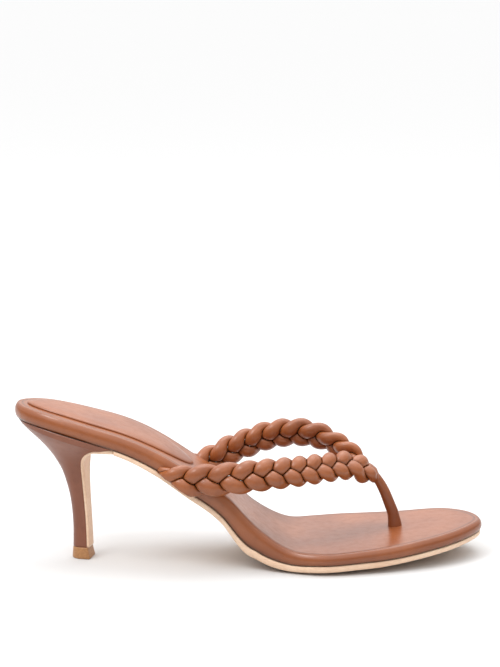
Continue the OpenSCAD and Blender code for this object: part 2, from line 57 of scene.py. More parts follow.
# ---- The sandal's own measures, the same as in the CAD source ----
SOLE_LENGTH = 231.0
HALF_BALL = 40.2
HALF_SEAT = 24.3
HALF_WAIST = 23.7
WAIST_SHIFT = -3.0
BALL_TOP = 10.6
SEAT_RISE = 68.7
TOE_SPRING = 7.7
WALL_HEEL, WALL_ARCH, WALL_BALL = 7.6, 9.5, 5.8
OUTSOLE_ARCH, OUTSOLE_BALL = 2.3, 5.0
TOP_PIECE_HEIGHT = 5.8
STEM_TURN = -12.0
BREAST_X = -66.0
LEATHER = 1.0
FOAM = 1.6


# ---- Smooth curves ----
def smooth_curve(points, steps, closed=False):
    """A smooth curve through the points, which may have any number of columns."""
    points = np.asarray(points, float)
    count = len(points)
    found = []
    for i in range(count if closed else count - 1):
        near = [i - 1, i, i + 1, i + 2]
        if closed:
            a, b, c, d = (points[k % count] for k in near)
        else:
            a, b, c, d = (points[min(max(k, 0), count - 1)] for k in near)
        for t in np.arange(steps) / steps:
            found.append(0.5 * (2 * b + (c - a) * t + (2 * a - 5 * b + 4 * c - d) * t ** 2
                                + (3 * b - a - 3 * c + d) * t ** 3))
    if not closed:
        found.append(points[-1])
    return np.array(found)


def by_length(curve, count, columns=3):
    """The curve again, as count points at even distances along it."""
    steps = np.linalg.norm(np.diff(curve[:, :columns], axis=0), axis=1)
    reached = np.concatenate([[0], np.cumsum(steps)])
    wanted = np.linspace(0, reached[-1], count)
    return np.column_stack([np.interp(wanted, reached, curve[:, k]) for k in range(curve.shape[1])])


def unit(vectors):
    return vectors / np.linalg.norm(vectors, axis=-1, keepdims=True)


def ease(value):
    """Goes smoothly from 0 to 1 as value goes from 0 to 1."""
    value = np.clip(value, 0, 1)
    return value * value * (3 - 2 * value)


# ---- Sole: outline from above, and side profile ----
OUTLINE = [
    (-0.5, 1.6), (-0.48, -0.43 * HALF_SEAT), (-0.425, -0.8 * HALF_SEAT), (-0.335, -HALF_SEAT),
    (-0.235, WAIST_SHIFT - HALF_WAIST), (-0.12, WAIST_SHIFT - HALF_WAIST),
    (-0.03, WAIST_SHIFT - HALF_WAIST), (0.06, -0.82 * HALF_BALL), (0.155, -0.98 * HALF_BALL),
    (0.25, -0.9 * HALF_BALL), (0.345, -0.725 * HALF_BALL), (0.425, -0.49 * HALF_BALL),
    (0.48, -0.19 * HALF_BALL), (0.5045, 0.11 * HALF_BALL), (0.484, 0.5 * HALF_BALL),
    (0.43, 0.79 * HALF_BALL), (0.345, 0.895 * HALF_BALL), (0.26, 0.975 * HALF_BALL),
    (0.175, 0.995 * HALF_BALL), (0.08, 0.83 * HALF_BALL), (-0.02, WAIST_SHIFT + 1.11 * HALF_WAIST),
    (-0.12, WAIST_SHIFT + HALF_WAIST), (-0.235, 0.985 * HALF_SEAT), (-0.335, HALF_SEAT),
    (-0.425, 0.835 * HALF_SEAT), (-0.48, 0.505 * HALF_SEAT),
]
TOE_POINT = 13          # the outline's point at the toe tip
OUTLINE_STEPS = 30      # steps from one point to the next
PROFILE_STEPS = 16
outline = smooth_curve([(x * SOLE_LENGTH, y) for x, y in OUTLINE], OUTLINE_STEPS, closed=True)
outer_side = outline[:TOE_POINT * OUTLINE_STEPS + 1]
inner_side = np.vstack([outline[TOE_POINT * OUTLINE_STEPS:], outline[:1]])[::-1]

# Place along the sandal as a share of its length, shares of the seat's rise and the toe's spring,
# thickness of the wrapped footbed, thickness of the outsole
PROFILE = [
    (-0.5 - 2 / SOLE_LENGTH, 1, 0, WALL_HEEL, OUTSOLE_ARCH),
    (-0.433, 0.957, 0, WALL_HEEL, OUTSOLE_ARCH),
    (-0.346, 0.882, 0, WALL_HEEL, OUTSOLE_ARCH),
    (-0.26, 0.797, 0, WALL_HEEL, OUTSOLE_ARCH),
    (-0.19, 0.689, 0, WALL_HEEL + 0.3, OUTSOLE_ARCH + 0.5),
    (-0.121, 0.545, 0, WALL_ARCH - 0.8, OUTSOLE_ARCH + 0.7),
    (-0.052, 0.388, 0, WALL_ARCH, OUTSOLE_ARCH + 0.8),
    (0.013, 0.169, 0, WALL_ARCH, OUTSOLE_BALL - 1.4),
    (0.082, 0.022, 0, WALL_BALL + 1.3, OUTSOLE_BALL - 0.6),
    (0.147, 0, 0, WALL_BALL, OUTSOLE_BALL),
    (0.225, 0, 0.1, WALL_BALL, OUTSOLE_BALL - 0.9),
    (0.312, 0, 0.3, WALL_BALL + 0.5, OUTSOLE_BALL - 2),
    (0.4, 0, 0.62, WALL_BALL + 0.5, OUTSOLE_BALL - 2.1),
    (0.5 + 3 / SOLE_LENGTH, 0, 1, WALL_BALL + 0.2, OUTSOLE_BALL - 2.7),
]
profile = smooth_curve(
    [(x * SOLE_LENGTH, BALL_TOP + seat * SEAT_RISE + toe * TOE_SPRING, wall, outsole)
     for x, seat, toe, wall, outsole in PROFILE], PROFILE_STEPS)
profile_slope = np.gradient(profile[:, 1], profile[:, 0])


def footbed_z(x):
    return np.interp(x, profile[:, 0], profile[:, 1])


def wall_at(x):
    return np.interp(x, profile[:, 0], profile[:, 2])


def outsole_at(x):
    return np.interp(x, profile[:, 0], profile[:, 3])


def under_z(x, depth):
    """Height of a depth, square to the footbed, under the footbed at x."""
    slope = np.interp(x, profile[:, 0], profile_slope)
    return footbed_z(x) - depth * np.sqrt(1 + slope ** 2)


# ---- Making meshes ----
def make_piece(name, points, faces, slot, body=None):
    """A smooth-shaded mesh piece from points in millimetres. slot names its material."""
    mesh = bpy.data.meshes.new(name)
    mesh.from_pydata((np.asarray(points, float) * MM).tolist(), [], [tuple(int(i) for i in f) for f in faces])
    work = bmesh.new()
    work.from_mesh(mesh)
    bmesh.ops.recalc_face_normals(work, faces=work.faces)
    work.to_mesh(mesh)
    work.free()
    mesh.polygons.foreach_set("use_smooth", [True] * len(mesh.polygons))
    piece = bpy.data.objects.new(name, mesh)
    bpy.context.scene.collection.objects.link(piece)
    mesh.materials.append(materials[slot])
    if body:
        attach(piece, body)
    return piece


def ring_faces(rows, count, closed=True):
    """Quads between rows of count points each, numbered one row after another."""
    faces = []
    for r in range(rows - 1):
        for k in range(count if closed else count - 1):
            a = r * count + k
            b = r * count + (k + 1) % count
            faces.append((a, b, b + count, a + count))
    return faces


def loft(rings):
    """Points and faces of a closed solid through closed rings of equal length."""
    rings = np.asarray(rings, float)
    rows, count = rings.shape[:2]
    faces = ring_faces(rows, count)
    points = np.vstack([rings.reshape(-1, 3), rings[0].mean(0), rings[-1].mean(0)])
    low, high = rows * count, rows * count + 1
    for k in range(count):
        faces.append((low, (k + 1) % count, k))
        faces.append((high, (rows - 1) * count + k, (rows - 1) * count + (k + 1) % count))
    return points, faces


def add_rungs(points, faces, edge, base, mates, spans, height_of):
    """Fills an edge ring with rungs of so many spans that join the mates, pairs of places in the
    ring. base is the ring's first point number, and height_of(across, start, end) gives the
    heights along a rung. Gives the rungs' point numbers."""
    total = sum(len(part) for part in points)
    share = np.arange(1, spans) / spans
    rungs = []
    for j, mate in mates:
        across = edge[j, :2] + share[:, None] * (edge[mate, :2] - edge[j, :2])
        points.append(np.column_stack([across, height_of(across, edge[j], edge[mate])]))
        rungs.append([base + j, *range(total, total + spans - 1), base + mate])
        total += spans - 1
    for lower, upper in zip(rungs, rungs[1:]):
        for k in range(spans):
            faces.append((lower[k], lower[k + 1], upper[k + 1], upper[k]))
    return rungs


def add_fan(faces, tip, rung):
    """Triangles from a tip point to the rung nearest to it."""
    for k in range(len(rung) - 1):
        faces.append((tip, rung[k], rung[k + 1]))


# ---- Shells that follow the sole's outline ----
STATIONS = 170          # places along each side of the sole
RUNG_SPANS = 18         # spans across the sole between its two edges


def sole_ring(back_x):
    """Matching points round the edge: the outer side from the back to the toe, then the inner
    side back again. With back_x the ring is open at that place."""
    sides = []
    for side in (outer_side, inner_side):
        if back_x is not None:
            start = np.array([back_x, np.interp(back_x, side[:, 0], side[:, 1])])
            side = np.vstack([start, side[side[:, 0] > back_x + 0.01]])
        sides.append(by_length(side, STATIONS + 1, 2))
    outer, inner = sides
    last = inner[-2::-1] if back_x is not None else inner[-2:0:-1]
    return np.vstack([outer, last])


def moved_in(ring, distance, is_open):
    """The ring moved inwards by a distance."""
    if is_open:
        along = np.gradient(ring, axis=0)
    else:
        along = np.roll(ring, -1, axis=0) - np.roll(ring, 1, axis=0)
    along = unit(along)
    return ring + distance * np.column_stack([-along[:, 1], along[:, 0]])


def sole_shell(rows, height_of, back_x=None):
    """Points and faces of a closed layer of the sole. rows are (distance inwards, depth) from the
    top round the edge to the bottom, and height_of(x, depth) gives the height of a depth."""
    is_open = back_x is not None
    ring = sole_ring(back_x)
    count = len(ring)
    points = []
    for distance, depth in rows:
        flat = moved_in(ring, distance, is_open)
        if is_open:
            flat[[0, -1], 0] = back_x
        points.append(np.column_stack([flat, height_of(flat[:, 0], depth)]))
    faces = ring_faces(len(rows), count, closed=not is_open)
    if is_open:
        mates = [(j, count - 1 - j) for j in range(STATIONS)]
    else:
        mates = [(j, count - j) for j in range(1, STATIONS)]
    caps = []
    for row in (0, len(rows) - 1):
        depth = rows[row][1]
        base = row * count
        rungs = add_rungs(points, faces, points[row], base, mates, RUNG_SPANS,
                          lambda across, start, end: height_of(across[:, 0], depth))
        add_fan(faces, base + STATIONS, rungs[-1])
        if not is_open:
            add_fan(faces, base, rungs[0])
        caps.append(rungs[0])
    if is_open:
        outer_edge = [r * count for r in range(len(rows))]
        inner_edge = [r * count + count - 1 for r in range(len(rows))]
        faces.append((*outer_edge[1:], *caps[1][1:], *inner_edge[-2::-1], *caps[0][-2:0:-1], outer_edge[0]))
    return np.vstack(points), faces


def footbed_height(x, depth):
    """depth is a share of the wrapped footbed's thickness where it is 0 to 1."""
    return under_z(x, depth * wall_at(x))


# ---- Materials ----
# Scales are cells in a metre, and depths of bumps are metres
CLOUD_SCALE, MOTTLE_SCALE, GRAIN_SCALE, PORE_SCALE = 28, 260, 900, 2300
GRAIN_DEPTH, PORE_DEPTH = 0.00008, 0.00004
WRINKLE_SCALE = (90, 620, 1)    # along a strand, and round it
WRINKLE_DEPTH = 0.0006
FIBRE_SCALE = (300, 900, 900)
FIBRE_DEPTH = 0.00008
SEAM_SHADE, FOLD_SHADE = 0.15, 0.12     # painted shade in the footbed's crease and feather line and in a strand's fold, as a share of the dark colour


def new_material(name):
    material = bpy.data.materials.new(name)
    material.use_nodes = True
    nodes = material.node_tree.nodes
    return material, nodes, material.node_tree.links, nodes["Principled BSDF"]


def noise(nodes, links, vector, scale, detail=3.0, rough=0.5):
    node = nodes.new("ShaderNodeTexNoise")
    node.inputs["Scale"].default_value = scale
    node.inputs["Detail"].default_value = detail
    node.inputs["Roughness"].default_value = rough
    links.new(vector, node.inputs["Vector"])
    return node.outputs["Fac"]


def to_range(nodes, links, value, low, high, to_low, to_high):
    node = nodes.new("ShaderNodeMapRange")
    node.inputs["From Min"].default_value = low
    node.inputs["From Max"].default_value = high
    node.inputs["To Min"].default_value = to_low
    node.inputs["To Max"].default_value = to_high
    links.new(value, node.inputs["Value"])
    return node.outputs["Result"]


def mix_colours(nodes, links, share, low, high):
    """A colour between two, each a colour or another node's output."""
    node = nodes.new("ShaderNodeMix")
    node.data_type = "RGBA"
    links.new(share, node.inputs[0])
    for socket, value in ((node.inputs[6], low), (node.inputs[7], high)):
        if isinstance(value, tuple):
            socket.default_value = (*value, 1)
        else:
            links.new(value, socket)
    return node.outputs[2]


def add_bump(nodes, links, height, distance, strength, before=None):
    node = nodes.new("ShaderNodeBump")
    node.inputs["Distance"].default_value = distance
    node.inputs["Strength"].default_value = strength
    links.new(height, node.inputs["Height"])
    if before is not None:
        links.new(before, node.inputs["Normal"])
    return node.outputs["Normal"]


def stretched(nodes, links, vector, scale):
    node = nodes.new("ShaderNodeMapping")
    node.inputs["Scale"].default_value = scale
    links.new(vector, node.inputs["Vector"])
    return node.outputs["Vector"]


def leather_material(name, light, dark, rough, coat, wrinkle=0.0, seam=False):
    """Smooth dyed calf leather: pores, faint mottling and, where wrinkle is above 0, fine creases
    along the strand and painted shade, darker colour, where strands press on each other, from the
    attribute fold. With seam it has painted shade where the piece has the attribute seam."""
    material, nodes, links, shader = new_material(name)
    place = nodes.new("ShaderNodeTexCoord")
    spot = place.outputs["Object"]
    broad = noise(nodes, links, spot, CLOUD_SCALE, 2)
    mottle = noise(nodes, links, spot, MOTTLE_SCALE, 4, 0.6)
    colour = mix_colours(nodes, links, to_range(nodes, links, broad, 0.35, 0.65, 0, 1), light, dark)
    freckle = tuple(c * 0.8 for c in dark)
    colour = mix_colours(nodes, links, to_range(nodes, links, mottle, 0.5, 0.8, 0, 0.5), colour, freckle)
    cells = nodes.new("ShaderNodeTexVoronoi")
    cells.inputs["Scale"].default_value = PORE_SCALE
    links.new(spot, cells.inputs["Vector"])
    normal = add_bump(nodes, links, cells.outputs["Distance"], PORE_DEPTH, 0.45)
    grain = noise(nodes, links, spot, GRAIN_SCALE, 3)
    normal = add_bump(nodes, links, grain, GRAIN_DEPTH, 0.35, normal)
    if seam:
        # Painted shade: darker colour in the footbed's crease and along its feather line
        edge = nodes.new("ShaderNodeAttribute")
        edge.attribute_name = "seam"
        deep = tuple(c * SEAM_SHADE for c in dark)
        colour = mix_colours(nodes, links, edge.outputs["Fac"], colour, deep)
    if wrinkle:
        strand = stretched(nodes, links, place.outputs["UV"], WRINKLE_SCALE)
        crease = noise(nodes, links, strand, 1.0, 4, 0.6)
        normal = add_bump(nodes, links, crease, WRINKLE_DEPTH, wrinkle, normal)
        # Painted shade, darker colour, where strands press on each other
        pressed_shade = nodes.new("ShaderNodeAttribute")
        pressed_shade.attribute_name = "pressed_shade"
        share = to_range(nodes, links, pressed_shade.outputs["Fac"], 0.0, 1.0, 0, 0.85)
        colour = mix_colours(nodes, links, share, colour, tuple(c * FOLD_SHADE for c in dark))
    links.new(colour, shader.inputs["Base Color"])
    links.new(to_range(nodes, links, mottle, 0.3, 0.7, *rough), shader.inputs["Roughness"])
    links.new(normal, shader.inputs["Normal"])
    shader.inputs["Coat Weight"].default_value = coat
    shader.inputs["Coat Roughness"].default_value = 0.22
    return material


def plain_material(name, light, dark, scale, rough, bump=0.0002, metal=0.0):
    """A plain solid with speckle at the given scale, for the pieces inside the sole and heel."""
    material, nodes, links, shader = new_material(name)
    spot = nodes.new("ShaderNodeTexCoord").outputs["Object"]
    grain = noise(nodes, links, spot, scale, 4, 0.6)
    colour = mix_colours(nodes, links, to_range(nodes, links, grain, 0.35, 0.65, 0, 1), light, dark)
    links.new(colour, shader.inputs["Base Color"])
    links.new(to_range(nodes, links, grain, 0.3, 0.7, rough - 0.06, rough + 0.06), shader.inputs["Roughness"])
    links.new(add_bump(nodes, links, grain, bump, 0.4), shader.inputs["Normal"])
    shader.inputs["Metallic"].default_value = metal
    return material


def sole_leather():
    """Natural sole leather: pale, with fine fibres."""
    material, nodes, links, shader = new_material("outsole_leather")
    spot = nodes.new("ShaderNodeTexCoord").outputs["Object"]
    broad = noise(nodes, links, spot, 40, 3)
    fibre = noise(nodes, links, stretched(nodes, links, spot, FIBRE_SCALE), 1.0, 4, 0.65)
    colour = mix_colours(nodes, links, to_range(nodes, links, broad, 0.35, 0.65, 0, 1),
                         (0.82, 0.6, 0.43), (0.75, 0.51, 0.35))
    colour = mix_colours(nodes, links, to_range(nodes, links, fibre, 0.45, 0.75, 0, 0.4), colour,
                         (0.6, 0.33, 0.2))
    links.new(colour, shader.inputs["Base Color"])
    links.new(to_range(nodes, links, fibre, 0.3, 0.7, 0.42, 0.6), shader.inputs["Roughness"])
    links.new(add_bump(nodes, links, fibre, FIBRE_DEPTH, 0.4), shader.inputs["Normal"])
    return material


COGNAC_LIGHT, COGNAC_DARK = (0.3, 0.088, 0.024), (0.22, 0.058, 0.014)
materials = {
    # The footbed leather gets painted shade in its crease and along its feather line
    "footbed_leather": leather_material("footbed_leather", COGNAC_LIGHT, COGNAC_DARK,
                                        rough=(0.28, 0.38), coat=0.25, seam=True),
    "heel_leather": leather_material("heel_leather", (0.24, 0.075, 0.032), (0.18, 0.052, 0.022),
                                     rough=(0.36, 0.46), coat=0.15),
    "strap_leather": leather_material("strap_leather", (0.3, 0.086, 0.022), (0.2, 0.05, 0.012),
                                      rough=(0.32, 0.44), coat=0.2, wrinkle=0.5),
    "outsole_leather": sole_leather(),
    "insole_board": plain_material("insole_board", (0.6, 0.48, 0.34), (0.52, 0.4, 0.28), 900, 0.8),
    "shank_board": plain_material("shank_board", (0.45, 0.36, 0.27), (0.38, 0.3, 0.22), 700, 0.8),
    "cork": plain_material("cork", (0.55, 0.4, 0.25), (0.35, 0.22, 0.12), 600, 0.85, 0.0004),
    "foam": plain_material("foam", (0.85, 0.8, 0.65), (0.76, 0.7, 0.54), 2500, 0.9, 0.0003),
    "steel": plain_material("steel", (0.6, 0.6, 0.62), (0.5, 0.5, 0.53), 1200, 0.3, 0.00002, 1.0),
    "brass": plain_material("brass", (0.7, 0.55, 0.25), (0.6, 0.45, 0.2), 1200, 0.3, 0.00002, 1.0),
    "heel_plastic": plain_material("heel_plastic", (0.8, 0.8, 0.78), (0.74, 0.74, 0.72), 1500, 0.45, 0.00005),
    "top_piece_rubber": plain_material("top_piece_rubber", (0.42, 0.2, 0.075), (0.33, 0.15, 0.055),
                                       900, 0.42, 0.0001),
    "cord": plain_material("cord", (0.8, 0.7, 0.55), (0.66, 0.55, 0.4), 1800, 0.85, 0.0003),
}
for row in frame["record"]["subparts"]:
    cad_mesh = frame["nodes"][row["node"]].data
    cad_mesh.materials.clear()
    cad_mesh.materials.append(materials[row["material_slot"]])


# ---- Wrapped footbed ----
GAP = 0.1               # space between a cover and what it wraps

# How far the leather stands in from the sole's outline, and its depth as a share of the wall
WALL_ROWS = [
    (9, 0), (4.5, 0), (3.1, 0), (2.6, 0.012), (2.25, 0.034), (1.95, 0.018), (1.6, 0.006), (1.2, 0.02),
    (0.85, 0.07), (0.5, 0.15), (0.15, 0.23), (-0.1, 0.31), (-0.26, 0.4), (-0.36, 0.5), (-0.38, 0.6),
    (-0.28, 0.71), (-0.04, 0.82), (0.3, 0.91), (0.8, 0.97), (1.5, 1), (4, 1), (9, 1),
]
# Painted shade on those rows, darker colour: in the crease inside the bead and along the feather line at the
# bottom
WALL_SHADE = [0, 0, 0.6, 0, 0, 0, 0.4, 0.2, 0, 0, 0, 0, 0, 0, 0, 0, 0.15, 0.6, 1, 1, 1, 1]


def paint_row_shade(mesh, shares):
    """Gives a sole layer the attribute seam, its painted shade, one share for each row round its edge."""
    count = 2 * STATIONS
    values = np.zeros(len(mesh.vertices), dtype=np.float32)
    values[:len(shares) * count] = np.repeat(shares, count)
    mesh.attributes.new("seam", "FLOAT", "POINT").data.foreach_set("value", values)


def foam_height(x, depth):
    """depth runs from 0 at the foam's top, just under the leather, to 1 at its bottom."""
    return under_z(x, LEATHER + GAP + depth * (FOAM - GAP))


def make_footbed():
    points, faces = sole_shell(WALL_ROWS, footbed_height)
    piece = make_piece("footbed_cover", points, faces, "footbed_leather")
    # Painted shade in the crease inside the bead and along the feather line
    paint_row_shade(piece.data, WALL_SHADE)
    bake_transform(piece)
    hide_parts("footbed_cover_rear", "footbed_cover_forepart")
    foam_rows = [(8, 0), (3, 0), (1.4, 0.1), (1.15, 0.5), (1.4, 0.9), (3, 1), (8, 1)]
    points, faces = sole_shell(foam_rows, foam_height)
    foam = make_piece("footbed_foam", points, faces, "foam")
    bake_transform(foam)
    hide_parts("footbed_foam_rear", "footbed_foam_forepart")


# ---- Outsole ----
SOLE_SIDE = 2.9         # height of the outsole's upright edge; below it the sole is crowned
SIDE_SHARE = 0.86       # the most of the outsole's thickness that the upright edge takes
SOLE_GAP = 0.05         # between the footbed and the outsole
GROUND = 0.02           # lowest height of the outsole, just clear of the floor


def outsole_height(x, depth):
    """depth runs from 0 at the top of the outsole, through 1 at the bottom of its upright edge, to
    2 at its underside, flat on the ground."""
    side = np.minimum(SIDE_SHARE * outsole_at(x), SOLE_SIDE)
    deep = np.minimum(depth, 1) * side + np.maximum(depth - 1, 0) * (outsole_at(x) - side)
    return np.maximum(under_z(x, wall_at(x) + SOLE_GAP + deep), GROUND)


def make_outsole():
    rows = [(8, 0), (2.5, 0), (0.75, 0), (0.42, 0.08), (0.3, 0.25), (0.26, 0.6), (0.34, 0.85),
            (0.62, 1), (1.2, 1.12), (2.4, 1.35), (4.2, 1.65), (6.5, 1.9), (9, 2)]
    points, faces = sole_shell(rows, outsole_height, BREAST_X)
    piece = make_piece("outsole", points, faces, "outsole_leather")
    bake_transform(piece)
    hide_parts("outsole_rear", "outsole_forepart")


# ---- Heel pad ----
PAD = [
    (-109.5, 0.5), (-105, -7), (-96, -12), (-82, -15.5), (-66, -17.8), (-50, -17.8), (-38, -15),
    (-31, -10.5), (-27.5, -4), (-30, 3), (-38, 9.5), (-50, 14), (-66, 16.8), (-82, 16.5),
    (-96, 13), (-105, 8),
]
PAD_FRONT = 8           # the pad outline's point at its front tip
PAD_STEPS = 20          # steps from one outline point to the next
PAD_STATIONS = 90       # places along each side of the pad
PAD_SPANS = 12          # spans across the pad
PAD_RISE = 1.9          # height of the pad's edge over the footbed
PAD_CROWN = 0.28        # how much higher its middle is
FULL_CROWN = 14         # width of the pad from which its crown is full
# Distance in from the pad's outline, and height over the footbed
PAD_ROWS = [
    (0.25, -0.2), (0.0, 0.05), (-0.05, 0.35), (0.12, 0.7), (0.5, 1.02), (1.2, 1.32), (2.4, 1.58),
    (3.3, 1.74), (4.2, PAD_RISE),
]


def pad_height(across, start, end):
    """Heights along a rung of the pad, crowned between its two ends."""
    share = np.linalg.norm(across - start[:2], axis=1) / np.linalg.norm(end[:2] - start[:2])
    fullness = min(1, np.linalg.norm(end - start) / FULL_CROWN)
    return footbed_z(across[:, 0]) + PAD_RISE + PAD_CROWN * fullness * (1 - (2 * share - 1) ** 2)


def make_heel_pad():
    """A crowned, stuffed tongue of leather with a tucked edge."""
    curve = smooth_curve(PAD, PAD_STEPS, closed=True)
    front = PAD_FRONT * PAD_STEPS
    outer = by_length(curve[:front + 1], PAD_STATIONS + 1, 2)
    inner = by_length(np.vstack([curve[front:], curve[:1]])[::-1], PAD_STATIONS + 1, 2)
    ring = np.vstack([outer, inner[-2:0:-1]])
    count = len(ring)
    points = []
    for distance, rise in PAD_ROWS:
        flat = moved_in(ring, distance, False)
        points.append(np.column_stack([flat, footbed_z(flat[:, 0]) + rise]))
    faces = ring_faces(len(PAD_ROWS), count)
    base = (len(PAD_ROWS) - 1) * count
    mates = [(j, count - j) for j in range(1, PAD_STATIONS)]
    rungs = add_rungs(points, faces, points[-1], base, mates, PAD_SPANS, pad_height)
    add_fan(faces, base + PAD_STATIONS, rungs[-1])
    add_fan(faces, base, rungs[0])
    faces.append(tuple(range(count)))
    pad = make_piece("heel_pad", np.vstack(points), faces, "footbed_leather", "rear")
    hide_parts("heel_pad_cover", "heel_pad_foam")


# ---- Heel ----
# Back end x and z, front end x and z, half width, turn and the share of the section that is round
HEEL = [
    (-87.6, 5.85, -79.6, 5.85, 4.6, 1, 0.6), (-87.6, 18, -80, 18, 4.4, 1, 0.6),
    (-88.9, 31, -80.7, 30, 4.8, 1, 0.6), (-92.2, 43.2, -81.3, 41, 6.3, 0.9, 0.62),
    (-96.2, 51, -81.4, 47.5, 8.9, 0.75, 0.66), (-100.4, 56.8, -80.9, 52.1, 12.2, 0.55, 0.7),
    (-105, 61.7, -79.1, 55.4, 16, 0.35, 0.75), (-109.8, 66.2, -76.4, 57.7, 20, 0.15, 0.8),
    (-113.1, 69.7, -73, 58.5, 23, 0, 0.83),
]
# The last section, which runs forward over the outsole
WING = (-114, 75.5, -66.4, 59.2, 24, 0, 0.78)
WING_SHARES = (0.15, 0.35, 0.6, 0.85, 1)    # rings from the last full section to the wing
STEM_SHIFT = -2.0       # how far the stem's foot stands to the side
SEAT_Z = 70.0           # height where the stem is back on the sandal's middle line
HEEL_STEPS = 8
FRONT_BEND = 0.7        # radius of the heel's front corners
BEND_POINTS = 5
WING_GAP = 0.02         # between the wing and the footbed
FLAP_INSET = 0.35       # how far the breast leather stands in from the heel's sides
FLAP_THICK = 1.2        # its thickness down the stem; at the top it is the outsole's
FLAP_THICKENS_X = -76.4
FLAP_POINTS = 25        # points across it
FLAP_EDGE = 0.93        # share of its half width where its edge starts to thin
FLAP_SUNK = 0.2         # how far its back lies in the heel


def heel_point(section, along, across):
    """A point of a heel section: along runs from its back end to its front, in millimetres."""
    back = np.array([section[0], 0, section[1]])
    front = np.array([section[2], 0, section[3]])
    middle = (back + front) / 2
    spot = back + along / np.linalg.norm(front - back) * (front - back) - middle
    turn = math.radians(STEM_TURN * section[5])
    shift = STEM_SHIFT * max(0, 1 - middle[2] / SEAT_Z)
    return middle + [spot[0] * math.cos(turn) - across * math.sin(turn),
                     shift + spot[0] * math.sin(turn) + across * math.cos(turn), spot[2]]


def section_length(section):
    return math.hypot(section[2] - section[0], section[3] - section[1])


def heel_ring(section, bend=FRONT_BEND, round_points=40):
    """Outline of a heel section: round at the back, with small bends at the front corners."""
    size = section_length(section)
    round_size = section[6] * size
    half = section[4]
    corners = {}
    for side in (-1, 1):
        corners[side] = []
        for angle in np.radians(np.linspace(90, 0, BEND_POINTS)):
            along = size - bend + bend * math.cos(angle)
            across = side * (half - bend + bend * math.sin(angle))
            corners[side].append(heel_point(section, along, across))
    back = [heel_point(section, round_size - round_size * math.cos(angle), half * math.sin(angle))
            for angle in np.radians(np.linspace(-90, 90, round_points))]
    return corners[-1][::-1] + back + corners[1]


def make_heel():
    """Leather round the heel. Above the last full section it runs up to the footbed, and forward
    as a thin wing."""
    sections = smooth_curve(HEEL, HEEL_STEPS)
    rings = [heel_ring(section, min(FRONT_BEND, 0.2 * section[4])) for section in sections]
    wing = np.array(heel_ring(WING))
    wing[:, 2] = under_z(wing[:, 0], wall_at(wing[:, 0]) + WING_GAP)
    last = np.array(rings[-1])
    for share in WING_SHARES:
        rings.append(last + share * (wing - last))
    points, faces = loft(rings)
    cover = make_piece("heel_cover.skin", points, faces, "heel_leather", "rear")
    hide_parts("heel_cover")


def make_breast():
    """The pale leather down the front of the heel, which carries on from the outsole."""
    sections = smooth_curve([*HEEL, WING], HEEL_STEPS)
    rise = unit(np.gradient(sections[:, 2:4], axis=0))
    rings = []
    for section, (ahead, up) in zip(sections, rise):
        size = section_length(section)
        half = section[4] - FLAP_INSET
        turn = math.radians(STEM_TURN * section[5])
        square = np.array([up * math.cos(turn), up * math.sin(turn), -ahead])
        thick = np.interp(section[2], (FLAP_THICKENS_X, BREAST_X), (FLAP_THICK, OUTSOLE_ARCH))
        ring = []
        for across in np.linspace(-1, 1, FLAP_POINTS):
            edge = 1 - 0.35 * max(0, (abs(across) - FLAP_EDGE) / (1 - FLAP_EDGE)) ** 2
            ring.append(np.array(heel_point(section, size, half * across)) + thick * edge * square)
        for across in (1, -1):
            ring.append(np.array(heel_point(section, size, half * across)) - FLAP_SUNK * square)
        rings.append(ring)
    points, faces = loft(rings)
    flap = make_piece("heel_breast", points, faces, "outsole_leather", "rear")
    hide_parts("heel_breast_flap")


# The top piece's lowest and highest section, and its rings as (share of the height, inset)
TOP_PIECE_FOOT = (-88.1, 0.03, -77.9, 0.03, 5.4, 1, 0.55)
TOP_PIECE_HEAD = (-87.7, TOP_PIECE_HEIGHT, -79.2, TOP_PIECE_HEIGHT, 4.9, 1, 0.6)
TOP_PIECE_RINGS = [
    (0, 0.35), (0.03, 0.1), (0.08, 0), (0.3, 0), (0.6, 0), (0.9, 0), (0.97, 0.1), (1, 0.3),
]


def make_top_piece():
    """The heel's replaceable foot, with softened edges."""
    rings = []
    for share, inset in TOP_PIECE_RINGS:
        section = [a + share * (b - a) for a, b in zip(TOP_PIECE_FOOT, TOP_PIECE_HEAD)]
        section[0] += inset
        section[2] -= inset
        section[4] -= inset
        rings.append(heel_ring(section, 0.5, 28))
    points, faces = loft(rings)
    piece = make_piece("top_piece.lift", points, faces, "top_piece_rubber", "rear")
    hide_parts("top_piece")


# ---- Plaited straps ----
# Each row: x, y, z of the strap's middle line, its lean over the foot in degrees, the turn of
# the plait in degrees, and the strap's width as a share of its full width
LATERAL = [
    (-44.5, -26.5, 49.3, 4, -262, 0.35), (-41, -29.4, 47.8, 5, -230, 0.62),
    (-37, -30.6, 46.6, 6, -190, 0.85),
    (-27, -30.8, 46, 8, -85, 1), (-15, -31.2, 46.6, 12, 36, 1.03), (-3, -31, 47.7, 17, 165, 1.02),
    (9, -28.2, 48.4, 22, 318, 1), (20, -23, 48.2, 27, 471, 0.98), (30, -16.4, 47.8, 32, 624, 0.97),
    (40, -9, 47.3, 36, 777, 0.96), (47, -3.4, 46.8, 40, 893, 0.97), (52, 0.2, 45.6, 44, 960, 0.98),
    (56.5, 3.4, 43.2, 46, 1022, 0.96), (60, 6, 40.8, 48, 1075, 0.85), (62.5, 7.4, 38.4, 50, 1110, 0.5),
]
